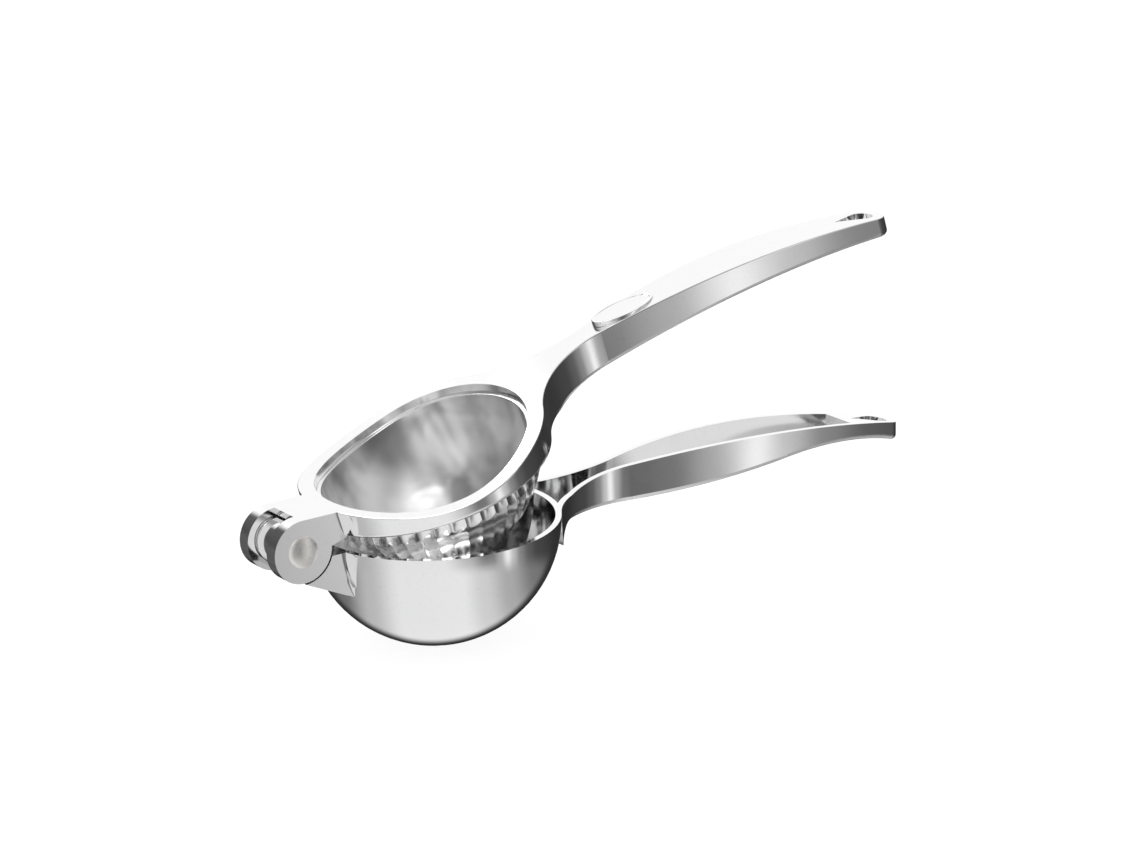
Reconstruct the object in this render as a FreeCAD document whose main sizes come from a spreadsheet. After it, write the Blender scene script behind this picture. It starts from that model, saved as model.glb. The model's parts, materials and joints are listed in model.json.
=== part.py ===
"""Hand citrus squeezer: two hinged arms, a fluted press cup, a rivet, two washers and a badge.

The arms are drawn closed, with the hinge axis at the origin, X towards the handles and Z up.
The upper arm and what rides on it are then swung open about the hinge, and the whole tool is
moved so that its origin is the centre of the lower handle's hanging eye.
"""
import FreeCAD, Part
import math
import os
import re

SIZES = {
    # overall layout
    "rest_opening": 16.0,       # degrees between the closed and the resting pose
    "bowl_radius": 36.0,
    "handle_run": 132.0,        # bowl's outside to the lower handle's tip
    "tip_overhang": 2.5,        # upper handle's tip past the lower one's
    # bowl of the lower arm
    "bowl_wall": 1.7,
    "rim_drop": 3.1,            # bowl's rim below the hinge axis
    "drain_radius": 1.5,
    "drain_spacing": 6.5,       # between the rings of drain holes
    # line where the closed arms meet
    "closed_gap": 0.5,
    "flat_run": 5.4,            # bowl's outside to where the line starts to arch
    "mate_radius": 307.0,
    "tip_drop": 8.46,           # line at the lower handle's tip below the hinge axis
    # hinge
    "hinge_width": 18.8,
    "ear_radius": 9.0,
    "ear_thickness": 4.4,
    "ear_clearance": 0.5,       # round the ears, in the lug
    "nose_slope": 16.0,         # degrees by which the top falls towards the ears
    "bridge_wall": 2.1,         # of the plate between the ears, over the knuckle
    "knuckle_clearance": 0.5,
    "side_clearance": 0.1,
    "washer_thickness": 0.8,
    "washer_inset": 0.7,        # washers inside the knuckle's outline
    "lug_web": 2.5,             # between the ears' recess and the bowl
    "lug_below": 0.3,           # lug's underside below the ears
    "lug_slope": 25.4,          # degrees by which that underside falls towards the bowl
    "lug_overlap": 1.3,         # lug into the bowl's outside
    "lug_core": 8.0,            # narrower core of the lug into the bowl's wall
    "lug_step": 0.6,            # core in from the lug's sides
    "pin_radius": 2.5,
    "pin_clearance": 0.05,
    "press_clearance": 0.01,
    "head_overhang": 1.9,
    "head_height": 1.1,
    "head_rounding": 0.75,
    # ring and handle of the upper arm
    "ring_wall": 4.6,
    "saddle_radius": 78.0,      # hollow of the top line over the ring
    "saddle_height": 1.45,
    "crest_radius": 307.0,      # arch of the top line along the handle
    "tip_depth": 6.06,          # upper handle at its tip
    "top_wall": 2.6,
    # both handles, seen from above
    "upper_neck": 34.0,
    "upper_belly": 430.0,
    "upper_half_width": 8.2,
    "upper_tip_wall": 2.7,
    "lower_neck": 33.0,
    "lower_belly": 245.0,
    "lower_half_width": 10.0,
    "lower_tip_wall": 1.3,
    "handle_wall": 1.8,
    "channel_setback": 0.2,     # bowl's outside to the lower channel
    # underside of the lower handle
    "floor_wall": 2.0,
    "belly_radius": 570.0,
    "belly_run": 28.0,          # bowl's outside to where the handle's depth is set
    "belly_depth": 10.82,
    "finger_radius": 112.0,
    "finger_run": 38.0,         # shallowest point of the finger hollow back from the tip
    "finger_depth": 6.54,
    "gusset_radius": 7.0,
    # hanging eyes, and the solid tips that they go through
    "eye_radius": 3.3,
    "eye_length": 10.0,
    "eye_margin": 3.4,
    "eye_web": 4.8,             # from the eye's point back to the channel
    # press cup
    "cup_lip_wall": 1.1,
    "cup_lip_drop": 2.5,        # lip below the ring's top line
    "cup_wall": 2.0,
    "pulp_gap": 8.1,            # between the closed cup and the bowl's floor
    "flute_band": 4.6,          # upright part of the flutes, below the ring
    "band_proud": 0.45,         # flutes' ridges past the ring's bore
    "flute_depth": 0.75,
    "flute_count": 44,
    "dome_flat": 7.0,
    # badge
    "badge_run": 38.8,          # bowl's outside to the badge's middle
    "badge_length": 21.0,
    "badge_width": 10.6,
    "badge_thickness": 1.6,
    "badge_rise": 0.9,
    "badge_tilt": 3.0,
    "badge_clearance": 0.05,
    # edge rounding
    "soft_edge": 1.4,
    "crisp_edge": 0.35,
}
DERIVED = {
    "hinge_setback": "=ear_radius + ear_clearance + lug_web",
    "reach": "=hinge_setback + bowl_radius",
    "rim_end": "=reach + bowl_radius",
    "lower_length": "=rim_end + handle_run",
    "upper_length": "=lower_length + tip_overhang",
    "mate_start": "=rim_end + flat_run",
    "lug_end": "=hinge_setback + lug_overlap",
    "lug_depth": "=ear_radius + lug_below",
    "nose_x": "=ear_radius * sin(nose_slope)",
    "ear_gap": "=hinge_width - 2 * ear_thickness",
    "knuckle_radius": "=ear_radius - bridge_wall - knuckle_clearance",
    "knuckle_width": "=ear_gap - 2 * washer_thickness - 4 * side_clearance",
    "washer_radius": "=knuckle_radius - washer_inset",
    "head_radius": "=pin_radius + head_overhang",
    "ring_bore": "=bowl_radius - ring_wall",
    "ring_floor": "=closed_gap - rim_drop",
    "upper_tip": "=eye_radius + upper_tip_wall",
    "lower_tip": "=eye_radius + lower_tip_wall",
    "solid_tip": "=eye_margin + eye_radius + eye_length + eye_web",
    "eye_x": "=lower_length - eye_margin - eye_radius",
    "band_radius": "=ring_bore + band_proud",
    "band_floor": "=ring_floor - flute_band",
    "cup_depth": "=rim_drop + bowl_radius - bowl_wall - pulp_gap",
    "dome_rise": "=cup_depth + band_floor",
    "dome_radius": "=(band_radius ^ 2 + dome_rise ^ 2) / (2 * dome_rise)",
    "dome_centre": "=dome_radius - cup_depth",
    "cup_bore": "=ring_bore - cup_lip_wall",
    "cup_centre": "=cup_bore + cup_wall - cup_depth",
    "badge_x": "=rim_end + badge_run",
}

X = FreeCAD.Vector(1, 0, 0)
Y = FreeCAD.Vector(0, 1, 0)
Z = FreeCAD.Vector(0, 0, 1)
SIDE_VIEW = FreeCAD.Rotation(X, 90)     # sketch x, y become model x, z
THROUGH = "4 * bowl_radius"             # an extrusion that passes clean through
OVERRUN = 5.0                           # how far the side outlines run on past the tips
NEAR = 0.001                            # an edge point this close to a line is on it
SHORT = 0.5                             # edges under this length aren't rounded

doc = FreeCAD.newDocument("squeezer")
sheet = doc.addObject("Spreadsheet::Sheet", "sizes")
for row, (name, value) in enumerate(SIZES.items(), start=1):
    sheet.set(f"A{row}", name)
    sheet.set(f"B{row}", str(value))
    sheet.setAlias(f"B{row}", name)
for row, (name, formula) in enumerate(DERIVED.items(), start=len(SIZES) + 1):
    sheet.set(f"A{row}", name)
    sheet.set(f"B{row}", formula)
    sheet.setAlias(f"B{row}", name)
    doc.recompute()


def size(name):
    """The sheet's value for one driving dimension."""
    return float(sheet.get(name))


def bind(thing, **rules):
    """Tie properties to the sheet; a rule is an expression in the sheet's names."""
    for prop, rule in rules.items():
        in_sheet = re.sub(r"\b([a-z]+_[a-z_]+|reach)\b", r"sizes.\1", rule)
        thing.setExpression(prop.replace("__", "."), in_sheet)
    return thing


def put(thing, x=None, y=None, z=None):
    """Tie an object's place to the sheet."""
    for axis, rule in (("x", x), ("y", y), ("z", z)):
        if rule is not None:
            bind(thing, **{f"Placement__Base__{axis}": rule})
    return thing


def cylinder(name, radius, height, along_y=False):
    """A cylinder on Z, or one across the hinge that is centred on the middle plane."""
    thing = bind(doc.addObject("Part::Cylinder", name), Radius=radius, Height=height)
    if along_y:
        thing.Placement = FreeCAD.Placement(FreeCAD.Vector(), FreeCAD.Rotation(X, 90))
        put(thing, y=f"({height}) / 2")
    return thing


def fuse(name, *things):
    result = doc.addObject("Part::MultiFuse", name)
    result.Shapes = list(things)
    return result


def common(name, *things):
    result = doc.addObject("Part::MultiCommon", name)
    result.Shapes = list(things)
    return result


def cut(name, base, *tools):
    result = doc.addObject("Part::Cut", name)
    result.Base = base
    result.Tool = tools[0] if len(tools) == 1 else fuse(name + "_tools", *tools)
    return result


# ---------------------------------------------------------------- outlines made of tangent arcs

def vec(point):
    return FreeCAD.Vector(point[0], point[1], 0)


def line(start, end):
    return Part.LineSegment(vec(start), vec(end))


def arc(start, end, centre):
    """The shorter arc from start to end about centre."""
    radius = math.dist(start, centre)
    middle = ((start[0] + end[0]) / 2 - centre[0], (start[1] + end[1]) / 2 - centre[1])
    scale = radius / math.hypot(*middle)
    bulge = (centre[0] + middle[0] * scale, centre[1] + middle[1] * scale)
    return Part.Arc(vec(start), vec(bulge), vec(end))


def towards(start, end, distance):
    """The point at a distance from start on the way to end."""
    share = distance / math.dist(start, end)
    return (start[0] + (end[0] - start[0]) * share, start[1] + (end[1] - start[1]) * share)


def meeting(c1, r1, c2, r2, side):
    """A crossing point of two circles; side picks the one to the left or right of c1 to c2."""
    gap = math.dist(c1, c2)
    along = (gap ** 2 + r1 ** 2 - r2 ** 2) / (2 * gap)
    across = math.sqrt(r1 ** 2 - along ** 2)
    foot = towards(c1, c2, along)
    unit = ((c2[0] - c1[0]) / gap, (c2[1] - c1[1]) / gap)
    return (foot[0] - side * across * unit[1], foot[1] + side * across * unit[0])


def height_on(centre, radius, x, side):
    """Where a circle passes x: side 1 is its top, -1 its bottom."""
    return centre[1] + side * math.sqrt(radius ** 2 - (x - centre[0]) ** 2)


def sketch(name, edges, placement=FreeCAD.Placement()):
    thing = doc.addObject("Sketcher::SketchObject", name)
    thing.Placement = placement
    for edge in edges:
        thing.addGeometry(edge, False)
    return thing


def prism(name, edges, side_view=False, width=THROUGH):
    """A closed outline extruded both ways from the sketch plane."""
    turn = SIDE_VIEW if side_view else FreeCAD.Rotation()
    thing = doc.addObject("Part::Extrusion", name)
    thing.Base = sketch(name + "_outline", edges, FreeCAD.Placement(FreeCAD.Vector(), turn))
    thing.DirMode = "Normal"
    thing.Symmetric = True
    thing.Solid = True
    return bind(thing, LengthFwd=width)


def plan_centres(prefix, hand):
    """Centres of the neck, belly and tip arcs on one side of a handle, seen from above."""
    rim = (size("reach"), 0.0)
    neck = size(prefix + "_neck")
    belly = size(prefix + "_belly")
    half = size(prefix + "_half_width")
    tip = size(prefix + "_tip")
    tip_centre = (size(prefix + "_length") - tip, 0.0)
    belly_x = tip_centre[0] - math.sqrt((belly - tip) ** 2 - (belly - half) ** 2)
    belly_centre = (belly_x, hand * (half - belly))
    neck_centre = meeting(rim, size("bowl_radius") + neck, belly_centre, belly + neck, hand)
    return neck_centre, belly_centre, tip_centre


def handle_plan(prefix, inset=0.0):
    """One handle from above: neck arcs tangent to the rim, long belly arcs and a round tip."""
    rim = (size("reach"), 0.0)
    neck = size(prefix + "_neck")
    belly = size(prefix + "_belly")
    tip = size(prefix + "_tip")
    edges = []
    for hand in (1, -1):
        neck_centre, belly_centre, tip_centre = plan_centres(prefix, hand)
        joint = towards(neck_centre, belly_centre, neck + inset)
        near_start = towards(neck_centre, rim, neck + inset)
        end = towards(belly_centre, tip_centre, belly - inset)
        edges.append(line((rim[0], 0), near_start))
        edges.append(arc(near_start, joint, neck_centre))
        edges.append(arc(joint, end, belly_centre))
        edges.append(arc(end, (tip_centre[0] + tip - inset, 0), tip_centre))
    return edges


def parting(lift=0.0):
    """The line between the closed arms: where its flat ends, then its arc's centre and radius."""
    radius = size("mate_radius")
    corner = (size("mate_start"), -size("rim_drop"))
    tip = (size("lower_length"), -size("tip_drop"))
    centre = meeting(corner, radius, tip, radius, -1)
    return (corner[0], corner[1] + lift), (centre[0], centre[1] + lift), radius


def mate_height(x):
    """How high the line between the closed arms is at x."""
    _, centre, radius = parting()
    return height_on(centre, radius, x, 1)


def top_line():
    """The upper arm's top: a flat off the ears, a saddle over the ring, an arch to the tip."""
    slope = math.radians(size("nose_slope"))
    ear = size("ear_radius")
    saddle = size("saddle_radius")
    crest = size("crest_radius")
    saddle_z = size("saddle_height") + saddle
    saddle_x = (ear + saddle - saddle_z * math.cos(slope)) / math.sin(slope)
    saddle_centre = (saddle_x, saddle_z)
    tip_x = size("upper_length")
    tip = (tip_x, mate_height(tip_x) + size("closed_gap") + size("tip_depth"))
    crest_centre = meeting(saddle_centre, saddle + crest, tip, crest, -1)
    start = (ear * math.sin(slope), ear * math.cos(slope))
    first = (saddle_x - saddle * math.sin(slope), saddle_z - saddle * math.cos(slope))
    second = towards(saddle_centre, crest_centre, saddle)
    return start, first, second, saddle_centre, crest_centre


def upper_side():
    """The upper arm from the side, closed."""
    start, first, second, saddle_centre, crest_centre = top_line()
    far = size("upper_length") + OVERRUN
    top_end = (far, height_on(crest_centre, size("crest_radius"), far, 1))
    corner, mate_centre, mate_radius = parting(size("closed_gap"))
    low_end = (far, height_on(mate_centre, mate_radius, far, 1))
    heel = (0.0, corner[1])
    return [
        line((0.0, 0.0), start),
        line(start, first),
        arc(first, second, saddle_centre),
        arc(second, top_end, crest_centre),
        line(top_end, low_end),
        arc(low_end, corner, mate_centre),
        line(corner, heel),
        line(heel, (0.0, 0.0)),
    ]


def below_lip():
    """Everything under the press cup's lip, which follows the ring's top line."""
    drop = size("cup_lip_drop")
    lowered = [(x, z - drop) for x, z in top_line()]
    start, first, second, saddle_centre, crest_centre = lowered
    far = size("rim_end") + OVERRUN
    top_end = (far, height_on(crest_centre, size("crest_radius"), far, 1))
    floor = size("ring_floor")
    return [
        line((start[0], floor), start),
        line(start, first),
        arc(first, second, saddle_centre),
        arc(second, top_end, crest_centre),
        line(top_end, (far, floor)),
        line((far, floor), (start[0], floor)),
    ]


def underside(inset=0.0):
    """The lower handle's long belly and its finger hollow: centres, radii and where they join."""
    belly = size("belly_radius")
    finger = size("finger_radius")
    finger_x = size("lower_length") - size("finger_run")
    finger_centre = (finger_x, mate_height(finger_x) - size("finger_depth") - finger)
    belly_x = size("rim_end") + size("belly_run")
    deepest = (belly_x, mate_height(belly_x) - size("belly_depth"))
    belly_centre = meeting(finger_centre, belly + finger, deepest, belly, -1)
    joint = towards(belly_centre, finger_centre, belly - inset)
    return belly_centre, belly - inset, finger_centre, finger + inset, joint


def lower_side():
    """The lower handle from the side, with a gusset arc under the bowl.

    Its near end climbs to the rim where the handle's plan leaves the rim, so no wing hangs
    down beside the bowl.
    """
    corner, mate_centre, mate_radius = parting()
    belly_centre, belly, finger_centre, finger, joint = underside()
    far = size("lower_length") + OVERRUN
    top_end = (far, height_on(mate_centre, mate_radius, far, 1))
    low_end = (far, height_on(finger_centre, finger, far, 1))
    bowl_centre = (size("reach"), corner[1])
    bowl = size("bowl_radius")
    gusset = size("gusset_radius")
    gusset_centre = meeting(bowl_centre, bowl + gusset, belly_centre, belly + gusset, -1)
    gusset_start = towards(bowl_centre, gusset_centre, bowl)
    gusset_end = towards(gusset_centre, belly_centre, gusset)
    neck_centre = plan_centres("lower", 1)[0]
    leaving = towards(neck_centre, (bowl_centre[0], 0.0), size("lower_neck"))
    shoulder = (leaving[0], corner[1])
    return [
        line(shoulder, corner),
        arc(corner, top_end, mate_centre),
        line(top_end, low_end),
        arc(low_end, joint, finger_centre),
        arc(joint, gusset_end, belly_centre),
        arc(gusset_end, gusset_start, gusset_centre),
        line(gusset_start, shoulder),
    ]


def teardrop(tip_x):
    """A hanging eye: a round end towards the tip, drawn out to a point towards the hinge."""
    radius = size("eye_radius")
    centre = (tip_x - size("eye_margin") - radius, 0.0)
    point = (centre[0] - size("eye_length"), 0.0)
    angle = math.acos(radius / size("eye_length"))
    touch = (centre[0] - radius * math.cos(angle), radius * math.sin(angle))
    mirror = (touch[0], -touch[1])
    crown = (centre[0] + radius, 0.0)
    return [
        line(point, touch),
        arc(touch, (centre[0], radius), centre),
        arc((centre[0], radius), crown, centre),
        arc(crown, (centre[0], -radius), centre),
        arc((centre[0], -radius), mirror, centre),
        line(mirror, point),
    ]


def rounded(name, base, radius, wanted):
    """Fillet the edges of base for which wanted(points along the edge) is true."""
    doc.recompute()
    picked = []
    for index, edge in enumerate(base.Shape.Edges, start=1):
        if not edge.Degenerated and edge.Length > SHORT and wanted(edge.discretize(Number=5)):
            picked.append((index, size(radius), size(radius)))
    result = doc.addObject("Part::Fillet", name)
    result.Base = base
    result.Edges = picked
    return result


def on_line(points, height):
    """Whether an open edge's points all lie on a line that is given as height(x)."""
    if math.dist(points[0], points[-1]) < SHORT:
        return False
    return all(abs(point.z - height(point.x)) < NEAR for point in points)


# ---------------------------------------------------------------- lower arm

def along_underside(points):
    """A test for edges that lie on the underside of the lower handle."""
    belly_centre, belly, finger_centre, finger, joint = underside()

    def height(x):
        if x < joint[0]:
            return height_on(belly_centre, belly, x, -1)
        return height_on(finger_centre, finger, x, 1)
    return on_line(points, height)


def polygon(corners):
    return [line(a, b) for a, b in zip(corners, corners[1:] + corners[:1])]


def lug_base(end):
    """The lug's front corners at x = end, then its underside, which falls towards the bowl."""
    slope = math.tan(math.radians(size("lug_slope")))
    depth = size("lug_depth")
    return [(end, -size("rim_drop")), (end, -depth - slope * end), (0, -depth)]


def lug_outline(end):
    """The hinge lug from the side."""
    return polygon([(0, -size("rim_drop"))] + lug_base(end))


def tongue_outline():
    """The web that joins the knuckle to the lug between the washers."""
    knuckle = size("knuckle_radius")
    heel = (-knuckle * math.cos(math.pi / 6), -knuckle * math.sin(math.pi / 6))
    return polygon([(0, -size("rim_drop"))] + lug_base(size("lug_end")) + [heel])


def drain_holes():
    """One hole on the bowl's axis and two rings round it, straight down through the bottom."""
    holes = []
    for ring, count in enumerate((1, 6, 12)):
        for step in range(count):
            hole = cylinder(f"drain_{ring}_{step}", "drain_radius", "bowl_radius")
            out = f"{ring} * drain_spacing"
            turn = 360 * step / count
            put(hole, x=f"reach + {out} * cos({turn})", y=f"{out} * sin({turn})")
            holes.append(put(hole, z="-rim_drop - 1.5 * bowl_radius"))
    return fuse("drain_holes", *holes)


def lower_channel():
    """The hollow of the lower handle: open at the top, ending at the rim and the solid tip."""
    belly_centre, belly, finger_centre, finger, joint = underside(size("floor_wall"))
    near = size("reach")
    far = size("lower_length") - size("solid_tip")
    start = (near, height_on(belly_centre, belly, near, -1))
    end = (far, height_on(finger_centre, finger, far, 1))
    sky = size("bowl_radius")
    side = prism("lower_channel_side", [
        line((near, sky), start),
        arc(start, joint, belly_centre),
        arc(joint, end, finger_centre),
        line(end, (far, sky)),
        line((far, sky), (near, sky)),
    ], side_view=True)
    plan = prism("lower_channel_plan", handle_plan("lower", size("handle_wall")))
    rim = cylinder("lower_channel_rim", "bowl_radius + channel_setback", THROUGH)
    put(rim, x="reach", z="-2 * bowl_radius")
    return cut("lower_channel", common("lower_channel_blank", side, plan), rim)


def lower_arm():
    """The bowl, its handle with an open channel, and the lug with the hinge's knuckle."""
    bowl = bind(doc.addObject("Part::Sphere", "bowl_outside"), Radius="bowl_radius")
    bowl.Angle1 = -90
    bowl.Angle2 = 0
    put(bowl, x="reach", z="-rim_drop")
    hollow = bind(doc.addObject("Part::Sphere", "bowl_inside"), Radius="bowl_radius - bowl_wall")
    put(hollow, x="reach", z="-rim_drop")
    handle = common("lower_handle",
                    prism("lower_side", lower_side(), side_view=True),
                    prism("lower_plan", handle_plan("lower")))
    handle = rounded("lower_soft", handle, "soft_edge", along_underside)
    core_end = size("hinge_setback") + size("lug_core")
    lug = fuse("lug",
               prism("lug_block", lug_outline(size("lug_end")), True, "hinge_width"),
               prism("lug_core_block", lug_outline(core_end), True, "hinge_width - 2 * lug_step"))
    recess = cylinder("ear_recess", "ear_radius + ear_clearance", "2 * hinge_width", True)
    knuckle = cylinder("knuckle", "knuckle_radius", "knuckle_width", True)
    tongue = prism("tongue", tongue_outline(), True, "knuckle_width")
    bore = cylinder("knuckle_bore", "pin_radius + pin_clearance", "2 * hinge_width", True)
    lug = cut("lug_with_recess", lug, recess)
    body = fuse("lower_body", bowl, handle, lug, knuckle, tongue)
    eye = prism("lower_eye", teardrop(size("lower_length")))
    return cut("lower_arm", body, hollow, lower_channel(), eye, bore, drain_holes())


# ---------------------------------------------------------------- upper arm

def along_parting(points):
    """A test for edges that lie on the upper arm's underside, past the hinge."""
    corner, centre, radius = parting(size("closed_gap"))

    def height(x):
        return corner[1] if x < corner[0] else height_on(centre, radius, x, 1)
    return on_line(points, height) and min(point.x for point in points) > size("hinge_setback")


def along_top(points):
    """A test for edges that lie along the upper arm's top line, but not across its nose."""
    start, first, second, saddle_centre, crest_centre = top_line()

    def height(x):
        if x < first[0]:
            return start[1] + (first[1] - start[1]) * (x - start[0]) / (first[0] - start[0])
        if x < second[0]:
            return height_on(saddle_centre, size("saddle_radius"), x, -1)
        return height_on(crest_centre, size("crest_radius"), x, 1)
    return on_line(points, height) and min(point.x for point in points) > start[0] + NEAR


def upper_channel():
    """The hollow under the upper handle, open downwards, ending at the ring and the solid tip."""
    crest_centre = top_line()[-1]
    roof = size("crest_radius") - size("top_wall")
    near = size("rim_end") + 2 * size("handle_wall")
    far = size("upper_length") - size("solid_tip")
    deep = -size("bowl_radius")
    high_near = (near, height_on(crest_centre, roof, near, 1))
    high_far = (far, height_on(crest_centre, roof, far, 1))
    side = prism("upper_channel_side", [
        line((near, deep), high_near),
        arc(high_near, high_far, crest_centre),
        line(high_far, (far, deep)),
        line((far, deep), (near, deep)),
    ], side_view=True)
    plan = prism("upper_channel_plan", handle_plan("upper", size("handle_wall")))
    return common("upper_channel", side, plan)


def knuckle_space():
    """What is cleared between the ears: round the knuckle, in front of it and below it."""
    clear = cylinder("knuckle_clear", "knuckle_radius + knuckle_clearance", "ear_gap", True)
    front = bind(doc.addObject("Part::Box", "front_clear"), Width="ear_gap")
    bind(front, Length="2 * ear_radius", Height="4 * ear_radius")
    put(front, x="nose_x - 2 * ear_radius", y="-ear_gap / 2", z="-2 * ear_radius")
    below = bind(doc.addObject("Part::Box", "below_clear"), Width="ear_gap")
    bind(below, Length="4 * ear_radius", Height="2 * ear_radius")
    put(below, x="-2 * ear_radius", y="-ear_gap / 2", z="ring_floor - 2 * ear_radius")
    return fuse("knuckle_space", clear, front, below)


def badge_block(name, growth, height):
    """An upright oval on the tilted seat plane of the badge."""
    crest_centre = top_line()[-1]
    top = height_on(crest_centre, size("crest_radius"), size("badge_x"), 1)
    seat = FreeCAD.Vector(size("badge_x"), 0, top + size("badge_rise") - size("badge_thickness"))
    tilted = FreeCAD.Placement(seat, FreeCAD.Rotation(Y, size("badge_tilt")))
    major = FreeCAD.Vector(size("badge_length") / 2 + growth, 0, 0)
    minor = FreeCAD.Vector(0, size("badge_width") / 2 + growth, 0)
    oval = Part.Ellipse(major, minor, FreeCAD.Vector())
    block = doc.addObject("Part::Extrusion", name)
    block.Base = sketch(name + "_outline", [oval], tilted)
    block.DirMode = "Normal"
    block.Solid = True
    return bind(block, LengthFwd=height)


def upper_arm():
    """The ring, its handle, and the two ears that straddle the knuckle."""
    ring = put(cylinder("ring_outside", "bowl_radius", THROUGH), x="reach", z="-2 * bowl_radius")
    bore = put(cylinder("ring_inside", "ring_bore", THROUGH), x="reach", z="-2 * bowl_radius")
    block = bind(doc.addObject("Part::Box", "hinge_block"), Length="reach / 2", Width="hinge_width")
    bind(block, Height=THROUGH)
    put(block, y="-hinge_width / 2", z="-2 * bowl_radius")
    plan = fuse("upper_plan", ring, block, prism("upper_handle", handle_plan("upper")))
    blank = common("upper_blank", prism("upper_side", upper_side(), side_view=True), plan)
    blank = rounded("upper_soft", blank, "soft_edge", along_parting)
    blank = rounded("upper_crisp", blank, "crisp_edge", along_top)
    ears = cylinder("ears", "ear_radius", "hinge_width", True)
    pin_bore = cylinder("ear_bore", "pin_radius + press_clearance", "2 * hinge_width", True)
    eye = prism("upper_eye", teardrop(size("upper_length")))
    pocket = badge_block("badge_pocket", size("badge_clearance"), "4 * badge_thickness")
    return cut("upper_arm", fuse("upper_body", blank, ears),
               bore, knuckle_space(), upper_channel(), eye, pin_bore, pocket)


# ---------------------------------------------------------------- press cup

def flute_ring(name, radius, level, widest):
    """A closed ring of hollow flutes with crisp ridges; the hollows shrink with the radius."""
    count = int(size("flute_count"))
    hollow = radius - size("flute_depth") * radius / widest
    step = 2 * math.pi / count

    def at(distance, turn):
        return FreeCAD.Vector(distance * math.cos(turn), distance * math.sin(turn), level)

    edges = []
    for flute in range(count):
        turn = flute * step
        rise = Part.Arc(at(radius, turn), at(hollow, turn + step / 2), at(radius, turn + step))
        edges.append(rise.toShape())
    ring = doc.addObject("Part::Feature", name)
    ring.Shape = Part.Wire(edges)
    ring.Placement = FreeCAD.Placement(FreeCAD.Vector(size("reach"), 0, 0), FreeCAD.Rotation())
    return ring


def fluted_dome():
    """The dome's skin as one loft through fluted rings, and the upright band above it."""
    dome = size("dome_radius")
    centre = size("dome_centre")
    widest = size("band_radius")
    first = math.asin(widest / dome)
    last = math.asin(size("dome_flat") / dome)
    sections = 7
    rings = []
    for step in range(sections):
        tilt = first + (last - first) * step / (sections - 1)
        level = centre - dome * math.cos(tilt)
        rings.append(flute_ring(f"flute_ring_{step}", dome * math.sin(tilt), level, widest))
    skin = doc.addObject("Part::Loft", "dome_skin")
    skin.Sections = rings
    skin.Solid = True
    skin.Ruled = False
    band = doc.addObject("Part::Extrusion", "flute_band_block")
    band.Base = flute_ring("band_ring", widest, size("band_floor"), widest)
    band.DirMode = "Custom"
    band.Dir = Z
    band.Solid = True
    bind(band, LengthFwd="flute_band")
    return skin, band


def press_cup():
    """A round-bottomed cup, smooth inside and fluted outside, pressed into the ring."""
    neck = cylinder("cup_neck_outside", "ring_bore - press_clearance", THROUGH)
    put(neck, x="reach", z="ring_floor")
    lip = prism("cup_below_lip", below_lip(), side_view=True)
    hollow = bind(doc.addObject("Part::Sphere", "cup_inside"), Radius="cup_bore")
    put(hollow, x="reach", z="cup_centre")
    throat = put(cylinder("cup_throat", "cup_bore", THROUGH), x="reach", z="cup_centre")
    skin, band = fluted_dome()
    body = fuse("cup_body", common("cup_neck", neck, lip), band, skin)
    return cut("press_cup", body, hollow, throat)


# ---------------------------------------------------------------- small pieces

def hinge_pin():
    """A rivet: its shank runs in the knuckle, and its two low heads lie on the ears."""
    outside = size("hinge_width") / 2 + size("head_height")

    def outer_rim(points):
        return all(abs(abs(point.y) - outside) < NEAR for point in points)

    parts = [cylinder("pin_shank", "pin_radius", "hinge_width", True)]
    for hand, side in (("near", -1), ("far", 1)):
        disc = cylinder(f"pin_head_{hand}", "head_radius", "head_height", True)
        put(disc, y=f"head_height / 2 + {side} * (hinge_width + head_height) / 2")
        parts.append(rounded(f"pin_crown_{hand}", disc, "head_rounding", outer_rim))
    return fuse("hinge_pin", *parts)


def washer(name, side):
    """One of the two washers between the ears and the knuckle; side is -1 or 1."""
    disc = cylinder(name + "_disc", "washer_radius", "washer_thickness", True)
    hole = cylinder(name + "_hole", "pin_radius + pin_clearance", "2 * hinge_width", True)
    offset = "(ear_gap / 2 - side_clearance - washer_thickness / 2)"
    put(disc, y=f"washer_thickness / 2 + {side} * {offset}")
    return cut(name, disc, hole)


def badge():
    """The blank oval plate that lies in the upper handle's pocket."""
    return badge_block("badge", 0.0, "badge_thickness")


# ---------------------------------------------------------------- assembly and export

lower_pieces = [lower_arm()]
upper_pieces = [upper_arm(), press_cup(), hinge_pin(), washer("washer_near", -1),
                washer("washer_far", 1), badge()]
doc.recompute()

for piece in lower_pieces + upper_pieces:
    piece.Label = piece.Name
    if piece in upper_pieces:
        opening = FreeCAD.Rotation(Y, -size("rest_opening"))
        piece.Placement = FreeCAD.Placement(FreeCAD.Vector(), opening).multiply(piece.Placement)
    shift = FreeCAD.Vector(-size("eye_x"), 0, -mate_height(size("eye_x")))
    piece.Placement = FreeCAD.Placement(shift, FreeCAD.Rotation()).multiply(piece.Placement)
doc.recompute()

for thing in doc.Objects:
    if "Invalid" in thing.State or "Error" in thing.State:
        raise RuntimeError(f"{thing.Name} did not build: {thing.State}")

os.makedirs("parts", exist_ok=True)
for piece in lower_pieces + upper_pieces:
    if piece.Shape.isNull() or not piece.Shape.isValid():
        raise RuntimeError(f"{piece.Label} is not a valid shape")
    piece.Shape.exportStep(f"parts/{piece.Label}.step")
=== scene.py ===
"""Looks of a hand citrus squeezer: polished plated arms, a satin press cup, a rivet and a badge."""
import json
import math

import bpy
from mathutils import Matrix, Vector


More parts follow.
